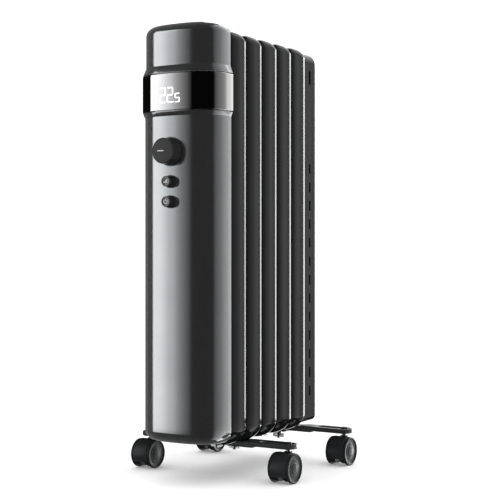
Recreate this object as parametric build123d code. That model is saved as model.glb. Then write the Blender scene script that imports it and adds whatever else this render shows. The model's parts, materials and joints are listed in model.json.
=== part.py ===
from build123d import *
import math
import os

# Oil filled column radiator: five pressed fins and a covered rear fin, a
# D-shaped control tower at the front, and two cross feet on twin-wheel casters.
# Frame: millimetres, +Z up, +X to the radiator's right as seen from the rear,
# control panel facing -Y, origin on the floor under the centre of the whole.

# ---------------------------------------------------------------- dimensions
FIN_PITCH = 42.9          # fin to fin
FIN_W2 = 63.9             # half width over the fins' side flanges
FIN_Z0, FIN_Z1 = 52.7, 632.7
FIN_Y0 = -89.8            # front plane of the first fin
FLANGE_W = 41.7           # width of one side flange along Y
FLANGE_T = 1.2
EDGE_R = 5.0              # radius of a flange's rolled edges
R_TOP, R_BOT = 13.0, 21.0  # corner radii of a fin, seen from the front
RETURN_X = 39.0           # where the flange's top and bottom returns end
WEB_T = 1.4
HEADER_H, HEADER_D = 36.0, 14.0
HEADER_X = 50.0
HEADER_LO, HEADER_HI = 90.7, 594.7
CHANNEL_X = (-40.0, -14.0, 14.0, 40.0)
CHANNEL_W, CHANNEL_D = 17.0, 11.0
SHEET = 0.9
COLLAR_R, COLLAR_RI = 12.8, 11.0

TW_A, TW_B, TW_N = 65.0, 52.3, 2.8   # tower plan: half width, depth, roundness
TW_YB = -90.6             # tower's back plane
TW_WALL = 2.5
TW_Z0 = 58.7
TW_SEAM = 517.4           # top edge of the shell, under the display band
BAND_Z0 = 518.2           # display band, bottom and top
BAND_Z1 = 569.5
CAP_Z0 = 570.3            # bottom edge of the cap's skirt
CAP_Z1 = 581.3            # top of the skirt, where the cap goes straight up
BAND_OFF = 3.2            # how far the band stands proud
LIP_OFF = 2.8             # shell and cap flare out to meet the band
CAP_OFF = -1.2
TW_Z1 = 640.0
TW_RB, TW_RT = 15.0, 14.0
YF = TW_YB - TW_B         # front of the tower on its centre line
SHIFT_Y = -2.7            # the whole heater moves by this, so that the origin is under its centre

KNOB_Z = 461.6
KNOB_Y = -162.9           # knob face
BTN_Z = {"mode": 420.3, "power": 392.5}
BTN_R, BTN_OUT, BTN_TRAVEL = 7.3, 13.0, 2.0
GUIDE_RI, GUIDE_RO = 7.6, 8.9

COVER_X, COVER_Y0, COVER_Y1 = 59.8, 125.9, 166.8
COVER_Z0, COVER_Z1, COVER_T = 60.0, 632.7, 1.2

FOOT_Y = (-25.45, 146.15)
FOOT_L2, FOOT_W = 131.5, 27.0
STEM_X = 118.5
STEM_R, SOCKET_BORE = 3.4, 3.45
WHEEL_R, DRUM_R, AXLE_R = 21.2, 19.0, 2.5
AXLE_BACK = 9.0           # axle lies this far in front of the swivel axis
HOOD_R, HOOD_RI, HOOD_W2 = 21.9, 19.4, 12.2

os.makedirs("parts", exist_ok=True)


def save(node, shape):
    shape = shape.moved(Location((0, SHIFT_Y, 0)))
    solids = shape.solids()
    shape = solids[0] if len(solids) == 1 else Compound(children=list(solids))
    export_step(shape, f"parts/{node}.step")


def box(x0, x1, y0, y1, z0, z1):
    return Pos((x0 + x1) / 2, (y0 + y1) / 2, (z0 + z1) / 2) * Box(x1 - x0, y1 - y0, z1 - z0)


def cyl_y(x, z, r, y0, y1):
    return Pos(x, (y0 + y1) / 2, z) * Rot(90, 0, 0) * Cylinder(r, abs(y1 - y0))


def cyl_x(y, z, r, x0, x1):
    return Pos((x0 + x1) / 2, y, z) * Rot(0, 90, 0) * Cylinder(r, abs(x1 - x0))


def cyl_z(x, y, r, z0, z1):
    return Pos(x, y, (z0 + z1) / 2) * Cylinder(r, z1 - z0)


def plan(off, z, yb=TW_YB):
    """D-shaped face of the tower's plan, grown by off, at height z."""
    a, b = TW_A + off, TW_B + off
    pts = []
    for i in range(33):
        c, s = math.cos(math.pi * i / 32), math.sin(math.pi * i / 32)
        k = (abs(c) ** TW_N + abs(s) ** TW_N) ** (-1 / TW_N)
        pts.append((a * c * k, TW_YB - b * s * k, z))
    pts[0], pts[-1] = (a, TW_YB, z), (-a, TW_YB, z)
    front = Spline(*pts, tangents=[(0, -1, 0), (0, 1, 0)])
    if yb > TW_YB:
        back = Polyline((-a, TW_YB, z), (-a, yb, z), (a, yb, z), (a, TW_YB, z))
    else:
        back = Line((-a, TW_YB, z), (a, TW_YB, z))
    return make_face(Wire([*front.edges(), *back.edges()]))


def prism(off, z0, z1, yb=TW_YB):
    return extrude(plan(off, z0, yb), z1 - z0, dir=(0, 0, 1))


def curved_edges(solid, z):
    return [e for e in solid.edges() if e.geom_type == GeomType.BSPLINE
            and abs(e.center().Z - z) < 0.01 and abs(e.bounding_box().size.Z) < 0.1]


# ------------------------------------------------------------- control tower
outer = prism(0, TW_Z0, TW_SEAM - 6.4)
outer = fillet(curved_edges(outer, TW_Z0), TW_RB)
flare = loft([plan(0, TW_SEAM - 6.4), plan(LIP_OFF, TW_SEAM)], ruled=True)
inner = prism(-TW_WALL, TW_Z0 + TW_WALL, TW_SEAM + 2, yb=TW_YB + 2)
inner = fillet(curved_edges(inner, TW_Z0 + TW_WALL), TW_RB - TW_WALL)
shell_solid = outer + flare
shell = shell_solid - inner
# opening for the base plate
base_cut = prism(-17, TW_Z0 - 3, TW_Z0 + 6) - box(-80, 80, TW_YB - 12, TW_YB + 5, 0, 100)
shell = shell - base_cut
# posts for the control board and bosses for the back plate's screws
for px in (-20.0, 20.0):
    for pz in (372.0, 483.0):
        shell = shell + (cyl_y(px, pz, 3.0, YF + 1.0, -123.2) & shell_solid)
BOSS = [(sx * 54.0, z) for sx in (-1, 1) for z in (95.0, 300.0, 500.0)]
for bx, bz in BOSS:
    x0, x1 = (bx - 4.3, 63.7) if bx > 0 else (-63.7, bx + 4.3)
    boss = box(x0, x1, -112.0, -92.8, bz - 4.5, bz + 4.5) & shell_solid
    shell = shell + boss - cyl_y(bx, bz, 1.5, -113, -92)
# holes for the knob's bush and the two button guides
shell = shell - cyl_y(0, KNOB_Z, 4.6, YF - 5, YF + 8)
for bz in BTN_Z.values():
    shell = shell - cyl_y(0, bz, GUIDE_RO + 0.05, YF - 5, YF + 8)
save("tower_shell", shell)

# base plate closing the underside, with the holes for gland and air probe
base = prism(-17.3, TW_Z0 - 0.5, TW_Z0 + 2.0) - box(-80, 80, TW_YB - 12.3, TW_YB + 5, 0, 100)
base = base + (prism(-19.0, TW_Z0 + 2.0, TW_Z0 + 3.0) - box(-80, 80, TW_YB - 14, TW_YB + 5, 0, 100))
GLAND = (-22.0, -111.0)
PROBE = (30.0, -111.0)
base = base - cyl_z(*GLAND, 6.5, 50, 70) - cyl_z(*PROBE, 2.5, 50, 70)
save("tower_base_plate", base)

# back plate, one sheet behind shell, band and cap
bp = Pos(0, TW_YB, 0) * extrude(
    Plane.XZ * (Pos(0, (62.0 + 636.8) / 2) * Rectangle(2 * (TW_A - 5.0), 636.8 - 62.0)), 2.0)
bp = fillet([e for e in bp.edges().filter_by(Axis.Y) if e.center().Z < 100], 13.0)
bp = fillet([e for e in bp.edges().filter_by(Axis.Y) if e.center().Z > 600], 12.0)
bp = bp - cyl_y(0, HEADER_LO, 13.2, -95, -88)
for bx, bz in BOSS:
    bp = bp - cyl_y(bx, bz, 1.8, -95, -88)
# two welded spacers that hold the tower on the first fin's upper gallery
for sx in (-1, 1):
    bp = bp + (cyl_y(sx * 28, HEADER_HI, 7.0, TW_YB, FIN_Y0 + FIN_PITCH / 2 - HEADER_D / 2)
               - cyl_y(sx * 28, HEADER_HI, 3.0, TW_YB - 1, -70))
save("tower_back_plate", bp)

# cap, with a skirt that flares out to the band and a lip that sits inside it
cap_solid = prism(CAP_OFF, CAP_Z1, TW_Z1)
cap_solid = fillet(curved_edges(cap_solid, TW_Z1), TW_RT)
cap_solid = cap_solid + loft([plan(LIP_OFF, CAP_Z0), plan(CAP_OFF, CAP_Z1)], ruled=True)
cap_in = prism(CAP_OFF - 3.0, CAP_Z0 - 10, TW_Z1 - 2.5, yb=TW_YB + 2)
cap_in = fillet(curved_edges(cap_in, TW_Z1 - 2.5), TW_RT - 2.5)
cap = cap_solid - cap_in
lip = prism(-2.8, CAP_Z0 - 7, CAP_Z0 + 3) - prism(-5.0, CAP_Z0 - 8, CAP_Z0 + 4, yb=TW_YB + 2)
lip = lip - box(-80, 80, TW_YB - 3.2, TW_YB + 3, 500, 700)
save("tower_cap", cap + lip)

# display band: gloss wrap-round lens between shell and cap
band_out = prism(BAND_OFF, BAND_Z0, BAND_Z1)
band = band_out - prism(-2.6, BAND_Z0 - 2, BAND_Z1 + 2, yb=TW_YB + 2)
skin = prism(BAND_OFF + 0.4, BAND_Z0 + 2, BAND_Z1 - 2) - prism(BAND_OFF - 0.4, BAND_Z0 + 1, BAND_Z1)
SEG = {"2": "abged", "5": "afgcd"}


def digit(ch, x0, z0, w, h, t):
    """Seven-segment figure standing on z0, as a prism along Y."""
    on = SEG[ch]
    out = None
    hh = h / 2
    bars = {
        "a": (x0, x0 + w, z0 + h - t, z0 + h), "g": (x0, x0 + w, z0 + hh - t / 2, z0 + hh + t / 2),
        "d": (x0, x0 + w, z0, z0 + t), "f": (x0, x0 + t, z0 + hh, z0 + h),
        "e": (x0, x0 + t, z0, z0 + hh), "b": (x0 + w - t, x0 + w, z0 + hh, z0 + h),
        "c": (x0 + w - t, x0 + w, z0, z0 + hh)}
    for k in on:
        a, b, c, d = bars[k]
        s = box(a, b, YF - 8, YF + 2, c, d)
        out = s if out is None else out + s
    return out


DIG_Z = 528.5
digits = [digit("2", -16.6, DIG_Z, 9.6, 21.0, 1.7), digit("2", -4.6, DIG_Z, 9.6, 21.0, 1.7),
          digit("5", 8.6, DIG_Z, 7.6, 12.5, 1.5), box(5.9, 7.5, YF - 8, YF + 2, DIG_Z, DIG_Z + 1.6)]
digits = [d & skin & band_out for d in digits]
lit = digits[0] + digits[1] + digits[2] + digits[3]
band = band - lit
save("display_band", band)
save("display_digits", lit)

board = box(-30, 30, -133.2, -131.6, 521, 561)
board = board + box(-20, 20, -138.2, -133.2, 524, 554)
save("display_board", board)

# ------------------------------------------------------------- control panel
cb = box(-26, 26, -123.2, -121.6, 366, 490)
cb = cb + box(-12, 12, -121.6, -115.6, 436, 452) + cyl_y(16, 404, 4.0, -121.6, -108.6)
for px in (-20.0, 20.0):
    for pz in (372.0, 483.0):
        cb = cb - cyl_y(px, pz, 1.4, -125, -120)
save("control_board", cb)

enc = box(-7, 7, -128.6, -123.2, KNOB_Z - 7, KNOB_Z + 7) + cyl_y(0, KNOB_Z, 4.5, -143.6, -128.6)
enc = enc - cyl_y(0, KNOB_Z, 3.05, -145, -125.6)
save("rotary_encoder", enc)

bezel = (cyl_y(0, KNOB_Z, 20.4, YF - 1.0, YF + 2) - cyl_y(0, KNOB_Z, 15.0, YF - 3, YF + 4)) - shell_solid
save("knob_bezel", bezel)

guides = None
for bz in BTN_Z.values():
    g = cyl_y(0, bz, GUIDE_RO, YF - 4.5, YF + 4.0)
    g = fillet([e for e in g.edges() if e.center().Y < YF - 4], 0.9)
    g = g - cyl_y(0, bz, GUIDE_RI, YF - 6, YF + 6)
    guides = g if guides is None else guides + g
save("button_guides", guides)

sw = None
for bz in BTN_Z.values():
    s = box(-3, 3, -126.7, -123.2, bz - 3, bz + 3) + cyl_y(0, bz, 1.6, -128.1, -126.7)
    sw = s if sw is None else sw + s
save("tact_switches", sw)

# knob: skirt, waisted body and a face rim, hollow behind, with a keyed hub
yk = YF - 1.3
prof = Polyline((0, KNOB_Y + 1.2), (16.6, KNOB_Y + 1.2), (16.6, KNOB_Y), (17.2, KNOB_Y), (17.8, KNOB_Y + 0.6),
                (17.8, KNOB_Y + 5.5), (17.0, KNOB_Y + 7.5), (17.0, yk - 6.2), (18.4, yk - 4.8), (19.2, yk - 4.0),
                (19.2, yk - 0.5), (18.7, yk), (15.2, yk), (15.2, KNOB_Y + 5.0), (5.5, KNOB_Y + 5.0),
                (5.5, yk - 2.0), (3.0, yk - 2.0), (3.0, KNOB_Y + 5.0), (0, KNOB_Y + 5.0), close=True)
knob = Pos(0, 0, KNOB_Z) * revolve(make_face(prof), Axis.Y)
save("knob", knob)
save("knob_face", cyl_y(0, KNOB_Z, 16.6, KNOB_Y, KNOB_Y + 1.2))
save("knob_shaft", cyl_y(0, KNOB_Z, 3.0, KNOB_Y + 5.0, -125.9))

# push buttons: cap, retaining flange behind the guide, and a stem to the switch
for name, bz in BTN_Z.items():
    yf = YF - BTN_OUT
    prof = Polyline((0, yf), (BTN_R - 0.9, yf), (BTN_R - 0.25, yf + 0.25), (BTN_R, yf + 0.9), (BTN_R, YF + 4.3),
                    (8.5, YF + 4.3), (8.5, YF + 5.8), (2.2, YF + 5.8), (2.2, -130.6), (0, -130.6), close=True)
    save(f"{name}_button", Pos(0, 0, bz) * revolve(make_face(prof), Axis.Y))

# ------------------------------------------------------------ tower's inside
pb = box(-40, 40, -100.0, -98.4, 200, 340)
pb = pb + box(-30, -12, -116, -100, 215, 245) + box(-6, 12, -116, -100, 215, 245) \
    + cyl_y(25, 300, 9, -118, -100) + box(-32, -2, -122, -100, 285, 320)
for px in (-34, 34):
    for pz in (208, 332):
        pb = pb + cyl_y(px, pz, 3.0, -98.4, -92.6)
save("power_board", pb)

gland = cyl_z(*GLAND, 6.5, TW_Z0 - 0.5, 72.0) + cyl_z(*GLAND, 9.0, TW_Z0 + 3.0, TW_Z0 + 8.0)
gland = gland - cyl_z(*GLAND, 4.2, 50, 80)
save("cord_gland", gland)
save("tilt_switch", box(1, 22, -120, -106, TW_Z0 + 3.0, TW_Z0 + 27) + cyl_z(11, -113, 5.0, TW_Z0 + 27, TW_Z0 + 30))
save("thermistor", cyl_z(*PROBE, 2.5, TW_Z0 - 0.5, TW_Z0 + 16))

# heater: flange with its neck into the lower gallery, and the bent rod
flange = cyl_y(0, HEADER_LO, 19.0, -97.6, -92.6) + cyl_y(0, HEADER_LO, COLLAR_R, -92.6, FIN_Y0 + FIN_PITCH / 2 - HEADER_D / 2)
for sx in (-1, 1):
    flange = flange - cyl_y(sx * 6.0, HEADER_LO, 3.5, -100, -60)
save("heater_flange", flange)
ROD_END = 90.0
path = Wire([Line((-6, -108, HEADER_LO), (-6, ROD_END, HEADER_LO)),
             ThreePointArc((-6, ROD_END, HEADER_LO), (0, ROD_END + 6, HEADER_LO), (6, ROD_END, HEADER_LO)),
             Line((6, ROD_END, HEADER_LO), (6, -108, HEADER_LO))])
rod = sweep(Plane(origin=(-6, -108, HEADER_LO), z_dir=(0, 1, 0)) * Circle(3.5), path)
save("heating_element", rod)
cut = cyl_y(0, 128, 8.5, -99.0, -92.6) + box(-12, 12, -94.0, -92.6, 122, 134) + box(-5, -3, -106, -99, 125, 131) \
    + box(3, 5, -106, -99, 125, 131)
save("thermal_cutout", cut)

# --------------------------------------------------------------------- fins
w, t = FLANGE_W / 2, FLANGE_T


def flange_section():
    """Convex strip whose edges roll over with radius EDGE_R; local x is Y, local y is outwards."""
    r, q = EDGE_R, math.radians(5)
    cu, top = w - r, -(w - r + r * math.sin(q)) * math.tan(q / 2)   # edge arc starts at slope q
    cv = top - r * math.cos(q)

    def on(rad, a):
        return (cu + rad * math.cos(a), cv + rad * math.sin(a))

    a0, a1 = math.pi / 2 - q, 0.0
    o = [on(r, a0), on(r, a0 / 2), on(r, a1)]
    i = [on(r - t, a0), on(r - t, a0 / 2), on(r - t, a1)]

    def m(p):
        return (-p[0], p[1])

    tail = 0.25
    parts = [ThreePointArc(m(o[0]), (0, 0), o[0]), ThreePointArc(*o), Line(o[2], (w, cv - tail)),
             Line((w, cv - tail), (w - t, cv - tail)), Line((w - t, cv - tail), i[2]), ThreePointArc(i[2], i[1], i[0]),
             ThreePointArc(i[0], (0, -t), m(i[0])), ThreePointArc(m(i[0]), m(i[1]), m(i[2])),
             Line(m(i[2]), (-w + t, cv - tail)), Line((-w + t, cv - tail), (-w, cv - tail)),
             Line((-w, cv - tail), m(o[2])), ThreePointArc(m(o[2]), m(o[1]), m(o[0]))]
    return make_face(Wire([e for p in parts for e in p.edges()]))


def flange_strip(y):
    X, Z0, Z1 = FIN_W2, FIN_Z0, FIN_Z1
    p = [(RETURN_X, Z1), (X - R_TOP, Z1), (X, Z1 - R_TOP), (X, Z0 + R_BOT), (X - R_BOT, Z0), (RETURN_X, Z0)]
    q = [(a, y, b) for a, b in p]
    k = 1 - math.sqrt(0.5)
    m1 = (X - k * R_TOP, y, Z1 - k * R_TOP)
    m2 = (X - k * R_BOT, y, Z0 + k * R_BOT)
    path = Wire([Line(q[0], q[1]), ThreePointArc(q[1], m1, q[2]), Line(q[2], q[3]),
                 ThreePointArc(q[3], m2, q[4]), Line(q[4], q[5])])
    sec = Plane(origin=q[0], x_dir=(0, 1, 0), z_dir=(1, 0, 0)) * flange_section()
    return sweep(sec, path)


def web(y, x2, z0, z1, rt, rb):
    f = Pos(0, y + WEB_T / 2, 0) * extrude(Plane.XZ * (Pos(0, (z0 + z1) / 2) * Rectangle(2 * x2, z1 - z0)), WEB_T)
    f = fillet([e for e in f.edges().filter_by(Axis.Y) if e.center().Z > 300], rt)
    return fillet([e for e in f.edges().filter_by(Axis.Y) if e.center().Z < 300], rb)


def galleries(y, s):
    """Oil space's outside (s = 0) or inside (s = sheet thickness)."""
    out = None
    for z in (HEADER_LO, HEADER_HI):
        h = Pos(0, y, z) * Rot(0, 90, 0) * Rot(0, 0, 0) * extrude(
            RectangleRounded(HEADER_H - 2 * s, HEADER_D - 2 * s, 5.0 - s), HEADER_X - s, both=True)
        out = h if out is None else out + h
    for x in CHANNEL_X:
        c = Pos(x, y, HEADER_LO) * extrude(
            SlotOverall(CHANNEL_W - 2 * s, CHANNEL_D - 2 * s), HEADER_HI - HEADER_LO)
        out = out + c
    return out


def fin_core(y, x2, z0, z1, rt, rb):
    return (web(y, x2, z0, z1, rt, rb) + galleries(y, 0)) - galleries(y, SHEET)


def port(y, z, front, rear):
    """Collar ports through the gallery's front and rear sheets."""
    y0 = y - HEADER_D if front else y - 2
    y1 = y + HEADER_D if rear else y + 2
    return cyl_y(0, z, COLLAR_RI, y0, y1)


right = flange_strip(0)
left = mirror(right, about=Plane.YZ)
core = fin_core(0, FIN_W2 - 0.6, FIN_Z0 + 0.6, FIN_Z1 - 0.6, R_TOP - 0.6, R_BOT - 0.6)
body = core + right + left
FIN_YS = [FIN_Y0 + FIN_PITCH * (k + 0.5) for k in range(6)]
for k in range(5):
    f = body - port(0, HEADER_LO, True, True) - port(0, HEADER_HI, k > 0, True)
    save(f"fin_{k + 1}", Pos(0, FIN_YS[k], 0) * f)

y6 = FIN_YS[5]
rear = fin_core(y6, 57.0, 64.0, 627.0, 16.0, 8.0) - port(y6, HEADER_LO, True, False) - port(y6, HEADER_HI, True, False)
rear = rear - cyl_y(0, HEADER_HI, 5.0, y6, y6 + 12)
STUD = [(sx * 50.0, z) for sx in (-1, 1) for z in (140.0, 545.0)]
for sx, sz in STUD:
    rear = rear + (cyl_y(sx, sz, 3.2, y6 + WEB_T / 2, COVER_Y1 - COVER_T) - cyl_y(sx, sz, 1.5, y6 + 4, COVER_Y1))
save("rear_fin", rear)
plug = cyl_y(0, HEADER_HI, 5.0, y6 + HEADER_D / 2 - SHEET - 2, y6 + HEADER_D / 2)
plug = plug + Pos(0, y6 + HEADER_D / 2 + 2.0, HEADER_HI) * Rot(90, 0, 0) * extrude(RegularPolygon(7.0, 6), 2.0, both=True)
save("oil_filler_plug", plug)

for name, z in (("oil_collars_bottom", HEADER_LO), ("oil_collars_top", HEADER_HI)):
    g = None
    for k in range(5):
        a, b = FIN_YS[k] + HEADER_D / 2, FIN_YS[k + 1] - HEADER_D / 2
        c = cyl_y(0, z, COLLAR_R, a, b) - cyl_y(0, z, COLLAR_RI, a - 1, b + 1)
        g = c if g is None else g + c
    save(name, g)

# rear cover: pan over the last fin, open in front, with side slots and vents
def pan(g, y0, y1, r):
    h = COVER_Z1 - COVER_Z0 - 2 * g
    f = Pos(0, y1, 0) * extrude(
        Plane.XZ * (Pos(0, (COVER_Z0 + COVER_Z1) / 2) * Rectangle(2 * (COVER_X - g), h)), y1 - y0)
    f = fillet([e for e in f.edges().filter_by(Axis.Y) if e.center().Z > 300], 21.0 - g)
    f = fillet([e for e in f.edges().filter_by(Axis.Y) if e.center().Z < 300], 9.0 - g)
    return fillet(f.faces().sort_by(Axis.Y)[-1].edges(), r)


cover = pan(0, COVER_Y0, COVER_Y1, 6.0) - pan(COVER_T, COVER_Y0 - 5, COVER_Y1 - COVER_T, 4.8)
cover = cover - box(-37, 37, COVER_Y0 - 1, COVER_Y1 - 8, COVER_Z1 - 6, COVER_Z1 + 2)
cover = cover - box(-37, 37, COVER_Y0 - 1, COVER_Y1 - 8, COVER_Z0 - 2, COVER_Z0 + 6)
SLOT_Y = 144.7
slot_cut = None
for i in range(13):
    z = 108.0 + 28.6 * i
    s = Pos(0, SLOT_Y, z) * Rot(0, 90, 0) * extrude(SlotOverall(16.0, 4.5), 70, both=True)
    slot_cut = s if slot_cut is None else slot_cut + s
slot_cut = slot_cut + Pos(0, SLOT_Y, 592) * Rot(0, 90, 0) * extrude(SlotOverall(22.0, 5.5), 70, both=True)
cover = cover - slot_cut
for row in range(4):
    zc = 150.0 + row * 128.0
    vents = None
    for i in range(9):
        v = Pos(-36 + 9 * i, COVER_Y1, zc) * Rot(90, 0, 0) * extrude(SlotOverall(70.0, 4.0, rotation=90), 4, both=True)
        vents = v if vents is None else vents + v
    cover = cover - vents
for sx, sz in STUD:
    cover = cover - cyl_y(sx, sz, 1.8, COVER_Y1 - 3, COVER_Y1 + 1)
save("rear_cover", cover)

# one kind of self-tapping screw holds the back plate and the rear cover
def screw(x, z, y, d, length):
    """Head against the plane y, shank running in direction d along Y."""
    head = cyl_y(x, z, 2.9, *sorted((y, y - d * 1.5)))
    shank = cyl_y(x, z, 1.45, *sorted((y, y + d * length)))
    cross = box(x - 1.6, x + 1.6, *sorted((y - d * 1.6, y - d * 0.8)), z - 0.35, z + 0.35) \
        + box(x - 0.35, x + 0.35, *sorted((y - d * 1.6, y - d * 0.8)), z - 1.6, z + 1.6)
    return head + shank - cross


screws = None
for bx, bz in BOSS:
    s = screw(bx, bz, TW_YB, -1, 14.0)
    screws = s if screws is None else screws + s
for sx, sz in STUD:
    screws = screws + screw(sx, sz, COVER_Y1, -1, 12.0)
save("casing_screws", screws)

# --------------------------------------------------------------------- feet
def foot():
    """Cross foot about its own centre; its pad reaches towards +Y."""
    arm = Pos(0, 0, 47.0) * extrude(SlotOverall(2 * FOOT_L2, FOOT_W), 7.0)
    arm = fillet([e for e in arm.edges() if e.center().Z > 53.9], 1.2)
    arm = arm - box(-60, 60, -30, 30, 40, 60)
    mid = box(-68, 68, -14, 14, 45.0, FIN_Z0) + box(-31, 31, -13, 30.4, 45.0, FIN_Z0)
    mid = fillet([e for e in mid.edges().filter_by(Axis.Z)], 3.0)
    f = arm + mid
    for sx in (-1, 1):
        f = f - Pos(sx * 101.0, 0, 52.0) * extrude(SlotOverall(52.0, 17.0), 4.0)
        f = f - cyl_z(sx * STEM_X, 0, 5.4, 40, 60)
        f = f - cyl_z(sx * 15.5, 21.45, 2.6, 40, 60)
    return f


ft = foot()
save("foot_front", Pos(0, FOOT_Y[0], 0) * ft)
save("foot_rear", Pos(0, FOOT_Y[1], 0) * Rot(0, 0, 180) * ft)

ubolts, nuts = None, None
for y in (FOOT_Y[0] + 21.45, FOOT_Y[1] - 21.45):
    r = 15.5
    path = Wire([Line((-r, y, 34.0), (-r, y, HEADER_LO)),
                 ThreePointArc((-r, y, HEADER_LO), (0, y, HEADER_LO + r), (r, y, HEADER_LO)),
                 Line((r, y, HEADER_LO), (r, y, 34.0))])
    u = sweep(Plane(origin=(-r, y, 34.0), z_dir=(0, 0, 1)) * Circle(2.5), path)
    ubolts = u if ubolts is None else ubolts + u
    for sx in (-1, 1):
        hub = cyl_z(sx * r, y, 5.0, 38.0, 45.0)
        hub = hub + Pos(sx * r, y, 38.5) * Rot(90, 0, 0) * extrude(SlotOverall(20.0, 6.0), 1.1, both=True)
        hub = hub - cyl_z(sx * r, y, 2.5, 30, 50)
        nuts = hub if nuts is None else nuts + hub
save("foot_ubolts", ubolts)
save("wing_nuts", nuts)

sockets = None
for fy in FOOT_Y:
    for sx in (-1, 1):
        x = sx * STEM_X
        s = cyl_z(x, fy, 5.4, 46.4, 56.0) + cyl_z(x, fy, 7.4, 52.0, 53.4)
        s = fillet([e for e in s.edges() if e.center().Z > 55.9], 1.5)
        s = s - cyl_z(x, fy, SOCKET_BORE, 40, 54.8)
        sockets = s if sockets is None else sockets + s
save("caster_sockets", sockets)

# ------------------------------------------------------------------ casters
def hood(x0, y0):
    """Hood, centre web and neck; axle in front of the swivel axis."""
    ya, za = y0 - AXLE_BACK, WHEEL_R
    ring = cyl_x(ya, za, HOOD_R, x0 - HOOD_W2, x0 + HOOD_W2)
    ring = fillet([e for e in ring.edges() if e.geom_type == GeomType.CIRCLE], 1.2)
    ring = ring - cyl_x(ya, za, HOOD_RI, x0 - 30, x0 + 30)
    # keep from 28 degrees below the horizontal in front to 10 below at the back
    a0, a1 = math.radians(-28), math.radians(190)
    big = 60.0
    pts = [(ya, za)]
    for i in range(9):
        a = a0 + (a1 - a0) * i / 8
        pts.append((ya - big * math.cos(a), za + big * math.sin(a)))
    sector = make_face(Polyline(*[(x0 - 30, p, q) for p, q in pts], close=True))
    sector = extrude(sector, 60, dir=(1, 0, 0))
    ring = ring & sector
    mid = cyl_x(ya, za, 20.0, x0 - 3.0, x0 + 3.0) & sector
    mid = mid + cyl_x(ya, za, 6.5, x0 - 3.0, x0 + 3.0)
    neck = cyl_z(x0, y0, 5.8, 30.0, 43.4)
    neck = fillet([e for e in neck.edges() if e.center().Z > 43.3], 0.8)
    neck = neck - cyl_x(ya, za, HOOD_RI + 0.6, x0 - 30, x0 + 30)
    h = ring + mid + neck
    h = h - cyl_x(ya, za, AXLE_R, x0 - 30, x0 + 30)
    h = h - cyl_z(x0, y0, STEM_R, 38.8, 60) - cyl_z(x0, y0, 2.2, 30.0, 39)
    return h


def wheel(x0, y0, side):
    """One of the twin wheels: rolling disc outside, drum under the hood."""
    ya, za = y0 - AXLE_BACK, WHEEL_R
    prof = Polyline((AXLE_R + 0.05, 3.9), (6.0, 3.9), (6.0, 5.5), (16.8, 5.5), (16.8, 4.2), (DRUM_R, 4.2),
                    (DRUM_R, 12.6), (20.6, 12.6), (WHEEL_R, 13.2), (WHEEL_R, 15.7), (20.7, 16.4), (19.4, 16.6),
                    (18.6, 16.4), (17.6, 15.4), (9.0, 15.4), (8.0, 16.0), (0, 16.2), (0, 14.4),
                    (AXLE_R + 0.05, 14.4), close=True)
    w0 = revolve(make_face(Plane(origin=(0, 0, 0), x_dir=(0, 1, 0), z_dir=(0, 0, 1)) * prof), Axis.X) \
        if False else revolve(make_face(Rot(0, 0, 90) * Rot(0, 0, 0) * mirror(prof, about=Plane.XZ)), Axis.X)
    if side < 0:
        w0 = mirror(w0, about=Plane.YZ)
    return Pos(x0, ya, za) * w0


CASTERS = {"fr": (STEM_X, FOOT_Y[0]), "fl": (-STEM_X, FOOT_Y[0]),
           "rr": (STEM_X, FOOT_Y[1]), "rl": (-STEM_X, FOOT_Y[1])}
for n, (x0, y0) in CASTERS.items():
    save(f"caster_{n}_hood", hood(x0, y0))
    save(f"caster_{n}_stem", cyl_z(x0, y0, STEM_R, 38.8, 54.6) + cyl_z(x0, y0, 2.2, 30.0, 38.8))
    save(f"caster_{n}_axle", cyl_x(y0 - AXLE_BACK, WHEEL_R, AXLE_R, x0 - 14.2, x0 + 14.2))
    save(f"caster_{n}_wheel_a", wheel(x0, y0, -1))
    save(f"caster_{n}_wheel_b", wheel(x0, y0, 1))
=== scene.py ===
import bpy
import bmesh
import math
import json
from mathutils import Vector, Matrix


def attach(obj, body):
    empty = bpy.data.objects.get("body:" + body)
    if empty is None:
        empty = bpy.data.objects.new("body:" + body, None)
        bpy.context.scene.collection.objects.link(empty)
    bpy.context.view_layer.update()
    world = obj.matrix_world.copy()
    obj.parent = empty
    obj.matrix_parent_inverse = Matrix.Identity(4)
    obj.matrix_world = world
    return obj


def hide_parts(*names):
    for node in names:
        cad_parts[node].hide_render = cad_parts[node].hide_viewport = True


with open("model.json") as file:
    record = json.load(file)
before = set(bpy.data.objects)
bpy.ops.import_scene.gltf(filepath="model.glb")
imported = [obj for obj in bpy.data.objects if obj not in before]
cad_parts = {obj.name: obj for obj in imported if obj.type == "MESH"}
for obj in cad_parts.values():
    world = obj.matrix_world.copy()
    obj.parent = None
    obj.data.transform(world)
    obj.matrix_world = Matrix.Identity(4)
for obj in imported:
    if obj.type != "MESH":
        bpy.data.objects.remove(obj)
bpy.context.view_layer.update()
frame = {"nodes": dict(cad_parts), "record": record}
N = frame["nodes"]
MM = 0.001

# ------------------------------------------------------------------ geometry
TW_A, TW_B, TW_N, TW_YB = 65.0, 52.3, 2.8, -90.6
YF = TW_YB - TW_B
FIN_Z0, FIN_Z1, FIN_X, PITCH, FIN_Y0 = 52.7, 632.7, 63.9, 42.9, -89.8
FIN_YS = [FIN_Y0 + PITCH * (k + 0.5) for k in range(6)]
HEADER = (90.7, 594.7)
SHIFT_Y = -2.7   # the whole heater moves by this, so that the origin is under its centre


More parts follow.
